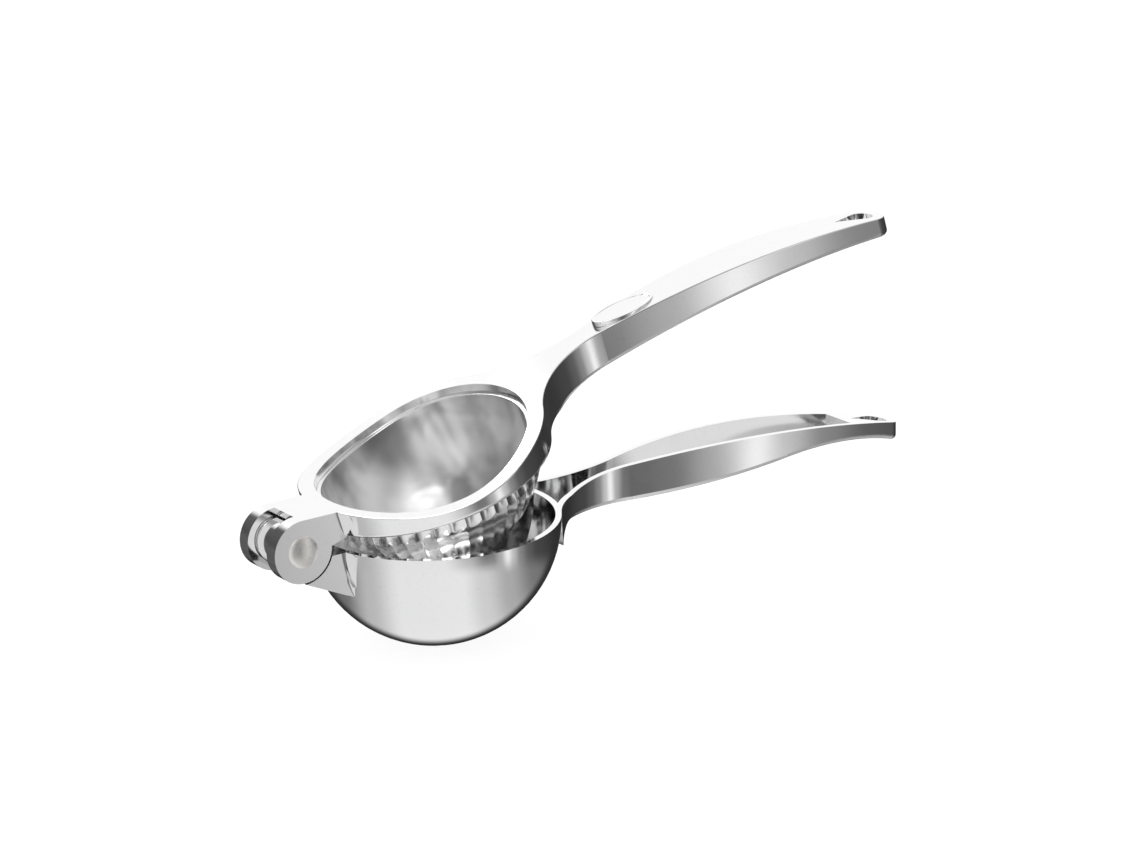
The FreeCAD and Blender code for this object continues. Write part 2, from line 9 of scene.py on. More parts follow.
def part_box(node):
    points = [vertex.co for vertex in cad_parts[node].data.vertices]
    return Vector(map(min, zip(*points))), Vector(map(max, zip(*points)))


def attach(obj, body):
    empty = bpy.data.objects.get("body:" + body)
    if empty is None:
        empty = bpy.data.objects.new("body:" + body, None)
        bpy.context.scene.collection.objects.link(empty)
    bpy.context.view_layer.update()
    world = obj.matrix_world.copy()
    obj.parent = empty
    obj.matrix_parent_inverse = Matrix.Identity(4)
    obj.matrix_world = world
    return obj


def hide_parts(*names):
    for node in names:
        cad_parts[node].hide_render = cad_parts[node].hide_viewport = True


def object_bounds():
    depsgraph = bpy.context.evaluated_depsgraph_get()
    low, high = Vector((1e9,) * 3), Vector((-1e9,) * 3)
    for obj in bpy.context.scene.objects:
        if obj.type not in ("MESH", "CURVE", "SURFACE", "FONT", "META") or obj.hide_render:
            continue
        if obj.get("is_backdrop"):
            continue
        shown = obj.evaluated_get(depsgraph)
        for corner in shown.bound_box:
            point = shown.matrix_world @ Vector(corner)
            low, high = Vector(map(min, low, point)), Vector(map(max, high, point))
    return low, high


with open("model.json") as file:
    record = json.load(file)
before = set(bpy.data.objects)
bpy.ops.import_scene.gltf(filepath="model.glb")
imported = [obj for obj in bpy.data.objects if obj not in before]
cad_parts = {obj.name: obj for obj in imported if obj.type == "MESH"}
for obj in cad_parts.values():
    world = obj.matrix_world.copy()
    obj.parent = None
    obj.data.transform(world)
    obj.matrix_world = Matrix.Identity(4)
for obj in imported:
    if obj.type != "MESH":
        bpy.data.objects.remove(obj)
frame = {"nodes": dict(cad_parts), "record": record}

bl_info = {
    "name": "Citrus squeezer finishes",
    "version": (1, 0, 0),
    "blender": (4, 5, 0),
    "location": "3D View > Sidebar > Squeezer",
    "description": "Finishes and studio for a jointed hand citrus squeezer",
    "category": "Object",
}

MM = 0.001
MERGE = 0.0005 * MM                 # corners closer than this are one corner
NEAR = 0.01 * MM                    # how exactly a corner lies on a face of the design
FACING = math.cos(math.radians(20.0))                                   # how squarely a face faces

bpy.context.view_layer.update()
JOINT = frame["record"]["behaviour"]["joints"][0]
HINGE = Vector(JOINT["pos_m"])
OPENING = math.radians(-JOINT["range_deg"][0])                          # from closed to at rest
CUP_AXIS = Vector((-math.sin(OPENING), 0.0, math.cos(OPENING)))         # up through the cup
CUP_ACROSS = Vector((CUP_AXIS.z, 0.0, -CUP_AXIS.x))                     # from the hinge to the tip

# the press cup's rings
FLUTE_STEPS = (0.0, 0.035, 0.16, 0.32, 0.5, 0.68, 0.84, 0.965)          # corners across one flute
HOLLOW_RINGS = 24
DOME_RINGS = 12
LIP_EDGE = 0.12 * MM                                                    # broken edges of the cup
TOP_EDGE = ((2.0, 0.2), (0.5, 0.5), (0.0, 1.5))     # inset and drop of its rings, in LIP_EDGE
FOOT_EDGE = ((0.0, 0.0), (0.4, 0.8), (1.4, 1.2))
UPRIGHT = (0.3, 0.55)                               # rings down the flutes, shares of their height
OVER_BAND = 0.5 * MM                                # the neck and lip lie higher than this over it
LIP_REACH = 1.0 * MM                                # the throat is this near the lip's top
POLE_REACH = 1.0 * MM                               # the hollow's bottom is this near the axis
FOOT = 0.15                                         # a ridge's foot over the band's lower end
HANG_FADE = 5                                       # how fast the scallops die out over the dome
LEDGE_FADE = 0.6                                    # how much of the ledge is gone at the bottom

CROWN_RINGS = 5                                     # rings across a rivet head
WASHER_EDGE = 0.12 * MM

# what polished metal mirrors: pairs of place, from far left (-1) to far right (1), and
# brightness
WALL = ((-1.0, 0.02), (-0.88, 0.05), (-0.7, 0.16), (-0.5, 0.5), (-0.25, 0.82), (0.2, 0.84),
        (0.38, 0.65), (0.57, 0.42), (0.76, 0.19), (0.92, 0.06), (1.0, 0.02))
BAND = ((-1.0, 0.02), (-0.78, 0.12), (-0.55, 0.45), (-0.25, 0.80), (0.08, 0.80), (0.27, 0.42),
        (0.41, 0.13), (0.46, 0.18), (0.52, 0.42), (0.575, 0.95), (0.615, 0.55), (0.67, 0.24),
        (0.73, 0.11), (0.8, 0.06), (1.0, 0.02))
UPPER = ((-1.0, 0.04), (-0.6, 0.10), (-0.35, 0.6), (-0.15, 0.35), (0.1, 0.9), (0.3, 0.3),
         (0.5, 0.65), (0.75, 0.06), (1.0, 0.04))
WHITE = (1.0, 1.0, 1.0, 1.0)
FLAG = (0.03, 0.03, 0.03, 1.0)
BAND_RISE = (-0.46, -0.30)          # heights over which the wall turns into the band
UPPER_RISE = (-0.02, 0.2)
WHITE_RISE = (0.60, 0.76)
FLAG_REACH = (0.93, 0.985)          # distance from the middle at which the dark flags begin
FLAG_TOP = (-0.1, -0.3)             # and the heights over which they begin

# name, place from the hinge, width, height and radiance
SOFT_BOXES = (
    ("cup_box_left", (-0.25, -0.30, 0.75), 0.50, 0.34, 3.2),
    ("cup_box_right", (0.02, 0.52, 0.62), 0.42, 0.34, 5.0),
)
SOFT_BOX_AIM = Vector((0.048, 0.0, 0.0))            # the cup's middle, from the hinge

FLOOR_SIZE = 12.0
FLOOR_GAP = 0.2 * MM
FLOOR_ROUGHNESS = 0.9
SENSOR = 36.0                                       # camera's sensor width, in millimetres
CLIP = (0.05, 40.0)                                 # nearest and farthest that the camera sees


# ---------------------------------------------------------------- settings

class PlatingSettings(bpy.types.PropertyGroup):
    """Bright plating of the two arms and the badge"""
    colour: bpy.props.FloatVectorProperty(
        name="Colour", description="Tint of the plating", subtype="COLOR", size=3,
        default=(0.87, 0.87, 0.872), min=0.0, max=1.0)
    roughness: bpy.props.FloatProperty(
        name="Roughness", description="Gloss of a clean patch", default=0.07, min=0.0, max=1.0,
        subtype="FACTOR")
    haze: bpy.props.FloatProperty(
        name="Haze", description="How much duller the handled patches are", default=0.07,
        min=0.0, max=1.0, subtype="FACTOR")
    ripple: bpy.props.FloatProperty(
        name="Ripple", description="Depth of the polishing ripple", default=0.012 * MM,
        min=0.0, unit="LENGTH", precision=6)


class CupSettings(bpy.types.PropertyGroup):
    """The press cup: satin hollow and bright flutes"""
    satin_colour: bpy.props.FloatVectorProperty(
        name="Satin colour", description="Tint of the satin hollow", subtype="COLOR", size=3,
        default=(0.95, 0.95, 0.95), min=0.0, max=1.0)
    satin_roughness: bpy.props.FloatProperty(
        name="Satin roughness", description="Gloss of the hollow", default=0.36, min=0.0,
        max=1.0, subtype="FACTOR")
    dimple: bpy.props.FloatProperty(
        name="Dimples", description="Depth of the tumbled dimples", default=0.12 * MM, min=0.0,
        unit="LENGTH", precision=6)
    flute_colour: bpy.props.FloatVectorProperty(
        name="Flute colour", description="Tint of the flutes", subtype="COLOR", size=3,
        default=(0.84, 0.84, 0.843), min=0.0, max=1.0)
    flute_roughness: bpy.props.FloatProperty(
        name="Flute roughness", description="Gloss of a clean flute", default=0.17, min=0.0,
        max=1.0, subtype="FACTOR")
    flute_haze: bpy.props.FloatProperty(
        name="Flute haze", description="How much duller the flutes' patches are", default=0.06,
        min=0.0, max=1.0, subtype="FACTOR")
    flute_ripple: bpy.props.FloatProperty(
        name="Flute ripple", description="Depth of the flutes' polishing ripple",
        default=0.004 * MM, min=0.0, unit="LENGTH", precision=6)
    flutes: bpy.props.IntProperty(
        name="Flutes", description="Flutes round the outside", default=44, min=8)
    flute_depth: bpy.props.FloatProperty(
        name="Flute depth", description="Depth of a flute between two ridges",
        default=0.75 * MM, min=0.0, unit="LENGTH", precision=5)
    ledge: bpy.props.FloatProperty(
        name="Ledge", description="How far the upright flutes stand out over the dome",
        default=0.5 * MM, min=0.0, unit="LENGTH", precision=5)
    scallop: bpy.props.FloatProperty(
        name="Scallop", description="How far each upright flute's foot hangs below its ridges",
        default=1.5 * MM, min=0.0, unit="LENGTH", precision=5)


class RivetSettings(bpy.types.PropertyGroup):
    """The rivet through the hinge and its washers"""
    colour: bpy.props.FloatVectorProperty(
        name="Colour", description="Tint of the rivet", subtype="COLOR", size=3,
        default=(0.90, 0.875, 0.84), min=0.0, max=1.0)
    roughness: bpy.props.FloatProperty(
        name="Roughness", description="Gloss of the rivet", default=0.30, min=0.0, max=1.0,
        subtype="FACTOR")
    crown: bpy.props.FloatProperty(
        name="Crown", description="Rise of the head's crown over its rim", default=0.55 * MM,
        min=0.0, unit="LENGTH", precision=5)
    edge: bpy.props.FloatProperty(
        name="Edge", description="Rounding of the head's rim", default=0.32 * MM, min=0.0,
        unit="LENGTH", precision=5)
    dimple_radius: bpy.props.FloatProperty(
        name="Dimple radius", description="Setting dimple in the far head", default=1.3 * MM,
        min=0.0, unit="LENGTH", precision=5)
    washer_colour: bpy.props.FloatVectorProperty(
        name="Washer colour", description="Tint of the washers", subtype="COLOR", size=3,
        default=(0.82, 0.82, 0.83), min=0.0, max=1.0)
    washer_roughness: bpy.props.FloatProperty(
        name="Washer roughness", description="Gloss of the washers", default=0.16, min=0.0,
        max=1.0, subtype="FACTOR")


class BadgeSettings(bpy.types.PropertyGroup):
    """The blank oval badge"""
    rim: bpy.props.FloatProperty(
        name="Rim", description="Width of the raised rim", default=0.8 * MM, min=0.0,
        unit="LENGTH", precision=5)
    sink: bpy.props.FloatProperty(
        name="Sink", description="How far the field lies below the rim", default=0.22 * MM,
        min=0.0, unit="LENGTH", precision=5)
    edge: bpy.props.FloatProperty(
        name="Edge", description="Rounding of the rim", default=0.14 * MM, min=0.0,
        unit="LENGTH", precision=5)
    roughness: bpy.props.FloatProperty(
        name="Roughness", description="Gloss of the badge", default=0.05, min=0.0, max=1.0,
        subtype="FACTOR")
    haze: bpy.props.FloatProperty(
        name="Haze", description="How much duller the badge's patches are", default=0.03,
        min=0.0, max=1.0, subtype="FACTOR")


class StageSettings(bpy.types.PropertyGroup):
    """Floor, surround, lights and camera"""
    azimuth: bpy.props.FloatProperty(
        name="Azimuth", description="Camera's turn round the tool", subtype="ANGLE",
        default=math.radians(-34.78))
    elevation: bpy.props.FloatProperty(
        name="Elevation", description="Camera above the horizon", subtype="ANGLE",
        default=math.radians(17.64))
    roll: bpy.props.FloatProperty(
        name="Roll", description="Camera's roll", subtype="ANGLE", default=math.radians(-1.57))
    lens: bpy.props.FloatProperty(
        name="Lens", description="Focal length on a 36 mm sensor, in millimetres", default=110.8)
    distance: bpy.props.FloatProperty(
        name="Distance", description="Camera to the point it aims at", default=0.9573,
        unit="LENGTH")
    aim: bpy.props.FloatVectorProperty(
        name="Aim", description="Point aimed at, from the hinge axis", size=3,
        default=(0.0695, -0.0374, 0.0281), subtype="TRANSLATION")
    floor_colour: bpy.props.FloatVectorProperty(
        name="Floor colour", description="Pale floor", subtype="COLOR", size=3,
        default=(0.93, 0.93, 0.93), min=0.0, max=1.0)
    floor_return: bpy.props.FloatProperty(
        name="Floor return", description="Share of the light that the floor gives back",
        default=0.25, min=0.0, max=1.0, subtype="FACTOR")
    floor_glow: bpy.props.FloatProperty(
        name="Floor glow", description="Strength of the floor's own light", default=0.82, min=0.0)
    fill: bpy.props.FloatProperty(
        name="Fill", description="Strength of the even white light", default=1.0, min=0.0)
    surround: bpy.props.FloatProperty(
        name="Surround", description="Strength of what the metal mirrors", default=1.08, min=0.0)


# ---------------------------------------------------------------- node helpers

class Nodes:
    """Adds and links the nodes of one node tree."""

    def __init__(self, tree):
        self.tree = tree
        tree.nodes.clear()

    def add(self, kind, **values):
        """A new node with its properties set."""
        node = self.tree.nodes.new(kind)
        for name, value in values.items():
            setattr(node, name, value)
        return node

    def link(self, source, target):
        self.tree.links.new(source, target)

    def feed(self, socket, value):
        """Links an output to a socket, or sets the socket's own value."""
        if isinstance(value, bpy.types.NodeSocket):
            self.link(value, socket)
        else:
            socket.default_value = value

    def math(self, operation, *values):
        """The result of a Math node; each value is an output or a number."""
        node = self.add("ShaderNodeMath", operation=operation)
        for socket, value in zip(node.inputs, values):
            self.feed(socket, value)
        return node.outputs[0]

    def total(self, first, *others):
        """The sum of several values."""
        for other in others:
            first = self.math("ADD", first, other)
        return first

    def vector(self, operation, first, second):
        """A Vector Math node fed with an output and a fixed vector."""
        node = self.add("ShaderNodeVectorMath", operation=operation)
        self.link(first, node.inputs[0])
        node.inputs[1].default_value = second
        return node

    def remap(self, value, low, high, to_low=0.0, to_high=1.0, smooth=True):
        """The value's range from low to high, brought to another range."""
        node = self.add("ShaderNodeMapRange")
        node.interpolation_type = "SMOOTHSTEP" if smooth else "LINEAR"
        self.link(value, node.inputs["Value"])
        for name, number in (("From Min", low), ("From Max", high),
                             ("To Min", to_low), ("To Max", to_high)):
            node.inputs[name].default_value = number
        return node.outputs["Result"]

    def noise(self, space, scale, detail=3.0, roughness=0.5, distortion=0.0):
        """Soft noise; scale is in cells per metre of an unstretched space."""
        node = self.add("ShaderNodeTexNoise")
        self.link(space, node.inputs["Vector"])
        for name, number in (("Scale", scale), ("Detail", detail), ("Roughness", roughness),
                             ("Distortion", distortion)):
            node.inputs[name].default_value = number
        return node.outputs["Fac"]

    def object_space(self, stretch=(1.0, 1.0, 1.0), turn=(0.0, 0.0, 0.0)):
        """Object coordinates, stretched and turned."""
        coordinates = self.add("ShaderNodeTexCoord")
        mapping = self.add("ShaderNodeMapping")
        self.link(coordinates.outputs["Object"], mapping.inputs["Vector"])
        mapping.inputs["Scale"].default_value = stretch
        mapping.inputs["Rotation"].default_value = turn
        return mapping.outputs["Vector"]

    def ramp(self, value, stops):
        """A grey ramp; stops are pairs of place and brightness."""
        node = self.add("ShaderNodeValToRGB")
        node.color_ramp.interpolation = "EASE"
        elements = node.color_ramp.elements
        while len(elements) < len(stops):
            elements.new(0.5)
        for element, (place, grey) in zip(elements, stops):
            element.position = place
            element.color = (grey, grey, grey, 1.0)
        self.link(value, node.inputs["Fac"])
        return node.outputs["Color"]

    def blend(self, share, first, second):
        """The second colour over the first, by share."""
        node = self.add("ShaderNodeMix", data_type="RGBA")
        self.link(share, node.inputs["Factor"])
        self.feed(node.inputs["A"], first)
        self.feed(node.inputs["B"], second)
        return node.outputs["Result"]

    def tint(self, value, colour, depth):
        """A colour that darkens by depth as value goes from 0 to 1."""
        return self.blend(value, (*colour, 1.0), (*(c * (1.0 - depth) for c in colour), 1.0))

    def bump(self, height, distance, strength=1.0, under=None):
        """A bumped normal, over another one where under is given."""
        node = self.add("ShaderNodeBump")
        self.link(height, node.inputs["Height"])
        node.inputs["Distance"].default_value = distance
        node.inputs["Strength"].default_value = strength
        if under is not None:
            self.link(under, node.inputs["Normal"])
        return node.outputs["Normal"]


# ---------------------------------------------------------------- materials

def new_material(name):
    """A material with just a shader: nodes, shader and material."""
    material = bpy.data.materials.new(name)
    material.use_nodes = True
    nodes = Nodes(material.node_tree)
    shader = nodes.add("ShaderNodeBsdfPrincipled")
    output = nodes.add("ShaderNodeOutputMaterial")
    nodes.link(shader.outputs["BSDF"], output.inputs["Surface"])
    return nodes, shader, material


def new_metal(name, pattern):
    """A metal whose colour, roughness and normal are what pattern(nodes) gives."""
    nodes, shader, material = new_material(name)
    shader.inputs["Metallic"].default_value = 1.0
    for socket, output in zip(("Base Color", "Roughness", "Normal"), pattern(nodes)):
        nodes.link(output, shader.inputs[socket])
    return material


def polished_plating(name, colour, roughness, haze, ripple, grain_turn=0.0):
    """Bright plating: long polishing lines, soft ripples, and duller handled patches."""
    def pattern(nodes):
        space = nodes.object_space()
        lengthwise = nodes.object_space(stretch=(60.0, 1400.0, 1400.0), turn=(0.0, grain_turn, 0.0))
        lines = nodes.noise(lengthwise, scale=1.0, detail=4.0, roughness=0.6)
        patches = nodes.noise(space, scale=38.0, roughness=0.55, distortion=0.4)
        specks = nodes.noise(space, scale=900.0, detail=2.0)
        waves = nodes.noise(space, scale=55.0, detail=1.0, roughness=0.4)
        dull = nodes.remap(patches, 0.42, 0.75, to_high=haze)
        worn = nodes.remap(lines, 0.35, 0.85, to_high=0.35 * haze)
        soft = nodes.bump(waves, distance=4.0 * ripple, strength=0.35)
        return (nodes.tint(nodes.remap(specks, 0.55, 0.8), colour, depth=0.05),
                nodes.total(dull, worn, roughness),
                nodes.bump(lines, distance=0.1 * ripple, strength=0.5, under=soft))
    return new_metal(name, pattern)


def satin_hollow(name, colour, roughness, dimple):
    """Tumbled satin: overlapping shallow dimples, fine grit, clouds and uneven gloss."""
    def pattern(nodes):
        space = nodes.object_space()
        blotches = nodes.noise(space, scale=70.0, detail=2.0, roughness=0.45, distortion=0.5)
        grit = nodes.noise(space, scale=2600.0, roughness=0.6)
        clouds = nodes.noise(nodes.object_space(stretch=(1.0, 1.0, 0.55)), scale=42.0, detail=2.0,
                             distortion=0.8)
        gloss = nodes.remap(blotches, 0.3, 0.7, to_low=-0.05, to_high=0.08)
        fine = nodes.remap(grit, 0.3, 0.8, to_high=0.05)
        uneven = nodes.total(nodes.math("MULTIPLY", clouds, 0.7),
                             nodes.math("MULTIPLY", blotches, 0.3))
        dimples = nodes.bump(blotches, distance=dimple, strength=0.9)
        return (nodes.tint(nodes.remap(uneven, 0.40, 0.62), colour, depth=0.68),
                nodes.total(gloss, fine, roughness),
                nodes.bump(grit, distance=0.01 * MM, strength=0.35, under=dimples))
    return new_metal(name, pattern)


def satin_steel(name, colour, roughness):
    """Turned satin steel with fine rings about the hinge axis and darker pits."""
    def pattern(nodes):
        space = nodes.object_space()
        turning = nodes.add("ShaderNodeTexWave", wave_type="RINGS", rings_direction="Y")
        nodes.link(nodes.vector("SUBTRACT", space, HINGE).outputs["Vector"], turning.inputs["Vector"])
        turning.inputs["Scale"].default_value = 900.0
        turning.inputs["Distortion"].default_value = 1.5
        turning.inputs["Detail Scale"].default_value = 3.0
        rings = turning.outputs["Fac"]
        pits = nodes.noise(space, scale=1300.0, roughness=0.6)
        turned = nodes.remap(rings, 0.0, 1.0, to_low=-0.03, to_high=0.04)
        pitted = nodes.remap(pits, 0.45, 0.8, to_high=0.12)
        grooves = nodes.bump(rings, distance=0.004 * MM, strength=0.5)
        return (nodes.tint(nodes.remap(pits, 0.5, 0.85), colour, depth=0.25),
                nodes.total(turned, pitted, roughness),
                nodes.bump(pits, distance=0.012 * MM, strength=0.4, under=grooves))
    return new_metal(name, pattern)


# ---------------------------------------------------------------- mesh helpers

def wear(piece, *materials):
    """Gives a piece its materials."""
    piece.data.materials.clear()
    for material in materials:
        piece.data.materials.append(material)


def pick_only(piece):
    """Makes a piece the active object and the only selected one."""
    bpy.ops.object.select_all(action="DESELECT")
    piece.select_set(True)
    bpy.context.view_layer.objects.active = piece


def start_primitive(adder, name, **place):
    """Deselects everything, adds a primitive at its size and place, and names it."""
    bpy.ops.object.select_all(action="DESELECT")
    adder(**place)
    piece = bpy.context.object
    piece.name = name
    piece.data.name = name
    return piece


def pick_faces(piece, wanted):
    """In object mode, selects just the faces for which wanted(face) is true."""
    mesh = piece.data
    for group in (mesh.vertices, mesh.edges, mesh.polygons):
        group.foreach_set("select", [False] * len(group))
    for face in mesh.polygons:
        face.select = wanted(face)


def in_edit(piece, *steps, kind="FACE"):
    """Runs edit-mode operators, each given as a function, on one piece."""
    pick_only(piece)
    bpy.ops.object.mode_set(mode="EDIT")
    bpy.ops.mesh.select_mode(type=kind)
    for step in steps:
        step()
    bpy.ops.object.mode_set(mode="OBJECT")


def pick_all():
    """In edit mode, selects the whole mesh."""
    bpy.ops.mesh.select_all(action="SELECT")


def merge_doubles():
    """In edit mode, makes one corner of those that meet."""
    bpy.ops.mesh.remove_doubles(threshold=MERGE)


def face_outwards():
    """In edit mode, turns every selected face outwards."""
    bpy.ops.mesh.normals_make_consistent(inside=False)


def bevel_edges(piece, width, segments, angle):
    """Rounds the edges that turn by more than an angle in degrees."""
    modifier = piece.modifiers.new("Bevel", "BEVEL")
    modifier.width = width
    modifier.segments = segments
    modifier.limit_method = "ANGLE"
    modifier.angle_limit = math.radians(angle)
    bpy.context.view_layer.objects.active = piece
    bpy.ops.object.modifier_apply(modifier=modifier.name)


def settle(piece):
    """Puts a piece's place into its mesh and leaves its object at the origin."""
    pick_only(piece)
    bpy.ops.object.transform_apply(location=True, rotation=True, scale=True)


def smooth(piece, angle):
    """Shades a piece smooth, with edges sharper than an angle in degrees left sharp."""
    pick_only(piece)
    bpy.ops.object.shade_smooth_by_angle(angle=math.radians(angle))


def merged_copy(node, name):
    """A copy of a CAD node's mesh as a new piece, with its loose triangles merged."""
    source = frame["nodes"][node]
    piece = source.copy()
    piece.data = source.data.copy()
    piece.name = name
    piece.data.name = name
    bpy.context.collection.objects.link(piece)
    piece.parent = None
    piece.matrix_world = Matrix.Identity(4)
    in_edit(piece, pick_all, merge_doubles)
    return piece


def facing(node, direction):
    """Middle and normal of the part of a CAD node's skin that faces a direction."""
    faces = [f for f in frame["nodes"][node].data.polygons if f.normal.dot(direction) > FACING]
    middle = sum((f.center * f.area for f in faces), Vector()) / sum(f.area for f in faces)
    normal = sum((f.normal * f.area for f in faces), Vector()).normalized()
    return middle, normal


def from_hinge(point):
    """A point's distance from the hinge's axis."""
    return math.hypot(point.x - HINGE.x, point.z - HINGE.z)


# ---------------------------------------------------------------- pieces

class SQUEEZER_OT_arms(bpy.types.Operator):
    """Plate and polish the lower and the upper arm"""
    bl_idname = "squeezer.arms"
    bl_label = "Polish the arms"

    def execute(self, context):
        plating = context.scene.squeezer_plating
        for node, turn in (("lower_arm", 0.0), ("upper_arm", OPENING)):
            wear(frame["nodes"][node], polished_plating(
                f"{node}_plating", plating.colour, plating.roughness, plating.haze,
                plating.ripple, turn))
        return {"FINISHED"}


class SQUEEZER_OT_cup(bpy.types.Operator):
    """Model the press cup with a satin hollow, a broken lip, upright flutes and a ridged dome"""
    bl_idname = "squeezer.cup"
    bl_label = "Model the press cup"

    # A ring is a function of a corner's place along the tool, from -1 at the hinge's side to 1,
    # and of its dip, from 0 on a ridge to 1 in the middle of a flute. It gives the corner's
    # distance from the cup's axis and its height over the hinge along that axis.

    def execute(self, context):
        cup = context.scene.squeezer_cup
        self.measure()
        inside = self.inner_rings()
        rings = inside + self.lip_rings() + self.outer_rings(cup)
        corners = cup.flutes * len(FLUTE_STEPS)
        piece = self.stack(corners, len(rings))
        wear(piece,
             polished_plating("flute_plating", cup.flute_colour, cup.flute_roughness,
                              cup.flute_haze, cup.flute_ripple, OPENING),
             satin_hollow("hollow_satin", cup.satin_colour, cup.satin_roughness, cup.dimple))
        levels = [round(vertex.co.z / MM) for vertex in piece.data.vertices]
        for face in piece.data.polygons:
            face.material_index = int(all(levels[v] < len(inside) for v in face.vertices))
        for vertex, level in zip(piece.data.vertices, levels):
            corner = round(math.atan2(vertex.co.y, vertex.co.x) / math.tau * corners)
            flute, step = divmod(corner, len(FLUTE_STEPS))
            turn = math.tau * (flute + FLUTE_STEPS[step]) / cup.flutes
            dip = 1.0 - (2.0 * FLUTE_STEPS[step] - 1.0) ** 2
            out, height = rings[level](math.cos(turn), dip)
            vertex.co = (HINGE + CUP_ACROSS * (self.middle + out * math.cos(turn))
                         + Vector((0.0, out * math.sin(turn), 0.0)) + CUP_AXIS * height)
        in_edit(piece, pick_all, merge_doubles, face_outwards)
        smooth(piece, 30.0)
        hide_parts("press_cup")
        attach(piece, "upper")
        return {"FINISHED"}

    def stack(self, corners, count):
        """A plain tube of rings, one millimetre apart, ready to be placed."""
        piece = start_primitive(
            bpy.ops.mesh.primitive_circle_add, "fluted_press_cup", vertices=corners,
            radius=self.neck, location=(0, 0, 0))

        def next_ring():
            bpy.ops.mesh.extrude_region_move(TRANSFORM_OT_translate={"value": (0.0, 0.0, MM)})
        in_edit(piece, pick_all, *[next_ring] * (count - 1), kind="VERT")
        return piece

    def measure(self):
        """Radii and heights of the cup's neck, band, dome and hollow, from the CAD node."""
        spots = [v.co - HINGE for v in frame["nodes"]["press_cup"].data.vertices]
        reach = [spot.dot(CUP_ACROSS) for spot in spots]
        self.middle = (min(reach) + max(reach)) / 2
        foot = CUP_ACROSS * self.middle
        polar = [(p.dot(CUP_AXIS), (p - foot - CUP_AXIS * p.dot(CUP_AXIS)).length,
                  p.dot(CUP_ACROSS) - self.middle) for p in spots]
        self.band = max(out for height, out, along in polar)
        widest = [height for height, out, along in polar if out > self.band - NEAR]
        self.band_top, self.band_foot = max(widest), min(widest)
        top = [spot for spot in polar if spot[0] > self.band_top + OVER_BAND]
        self.neck = max(out for height, out, along in top)
        highest = max(height for height, out, along in top)
        self.bore = min(out for height, out, along in top if height > highest - LIP_REACH)
        self.lip = sorted((along, height) for height, out, along in top
                          if out > self.neck - 2 * NEAR)
        self.floor = max(height for height, out, along in polar if out < POLE_REACH)
        self.bottom = min(height for height, out, along in polar)
        self.flat = max(out for height, out, along in polar if height < self.bottom + 2 * NEAR)
        self.centre = ((self.band ** 2 + self.band_foot ** 2 - self.flat ** 2 - self.bottom ** 2)
                       / (2 * (self.band_foot - self.bottom)))
        self.dome = math.hypot(self.band, self.band_foot - self.centre)

    def lip_height(self, along):
        """Height of the lip, which follows the ring's top, at a distance along the tool."""
        before = max((spot for spot in self.lip if spot[0] <= along), default=self.lip[0])
        after = min((spot for spot in self.lip if spot[0] >= along), default=self.lip[-1])
        if after[0] - before[0] < MERGE:
            return before[1]
        share = (along - before[0]) / (after[0] - before[0])
        return before[1] + share * (after[1] - before[1])

    def hollow_edge(self, along):
        """The hollow's upper edge below the lip: its height, and its angle below the throat."""
        top = self.lip_height(self.bore * along) - LIP_EDGE
        below = min(1.0, max(0.0, (self.floor + self.bore - top) / self.bore))
        return top, math.asin(below)

    def inner_rings(self):
        """Rings from the hollow's bottom up its round wall and its throat."""
        bore = self.bore
        centre = self.floor + bore

        def wall(share):
            def ring(along, dip):
                top, start = self.hollow_edge(along)
                length = bore * (math.pi / 2 - start) + max(0.0, top - centre)
                tilt = math.pi / 2 - share * length / bore
                if tilt < 0.0:
                    return bore, centre - bore * tilt
                return bore * math.cos(tilt), centre - bore * math.sin(tilt)
            return ring
        return [wall(step / HOLLOW_RINGS) for step in range(HOLLOW_RINGS + 1)]

    def lip_rings(self):
        """Rings over the lip, from the hollow's edge to the neck, with both edges broken."""
        def inner(inset, drop):
            def ring(along, dip):
                out = self.bore * math.cos(self.hollow_edge(along)[1])
                return out + inset, self.lip_height(self.bore * along) - drop
            return ring

        def outer(inset, drop):
            return lambda along, dip: (
                self.neck - inset, self.lip_height(self.neck * along) - drop)
        part = 0.3 * LIP_EDGE
        return [inner(part, part), inner(LIP_EDGE, 0.0),
                outer(LIP_EDGE, 0.0), outer(part, part), outer(0.0, LIP_EDGE)]

    def outer_rings(self, cup):
        """Rings down the neck, the upright flutes, their scalloped feet and the ridged dome."""
        tall = self.band_top - self.band_foot
        first = math.asin(self.band / self.dome)
        last = math.asin(self.flat / self.dome)

        def upright(inset, drop):
            return lambda along, dip: (
                self.band - cup.flute_depth * dip - inset, self.band_top - drop)

        def foot(inset, drop):
            return lambda along, dip: (
                self.band - cup.flute_depth * dip - inset,
                self.band_foot + FOOT * tall - cup.scallop * dip - drop)

        def skin(share):
            tilt = first + (last - first) * share
            out = self.dome * math.sin(tilt)
            height = self.centre - self.dome * math.cos(tilt)
            hang = cup.scallop * (1.0 - share) ** HANG_FADE
            return lambda along, dip: (
                out - cup.flute_depth * dip * out / self.band
                - cup.ledge * (1.0 - LEDGE_FADE * share),
                height - hang * dip)
        return ([lambda along, dip: (self.neck, self.band_top - 0.1 * LIP_EDGE)]
                + [upright(inset * LIP_EDGE, drop * LIP_EDGE) for inset, drop in TOP_EDGE]
                + [upright(0.0, share * tall) for share in UPRIGHT]
                + [foot(inset * LIP_EDGE, drop * LIP_EDGE) for inset, drop in FOOT_EDGE]
                + [foot(cup.ledge, 1.3 * LIP_EDGE)]
                + [skin(step / DOME_RINGS) for step in range(1, DOME_RINGS + 1)]
                + [lambda along, dip: (0.5 * self.flat, self.bottom),
                   lambda along, dip: (0.0, self.bottom)])


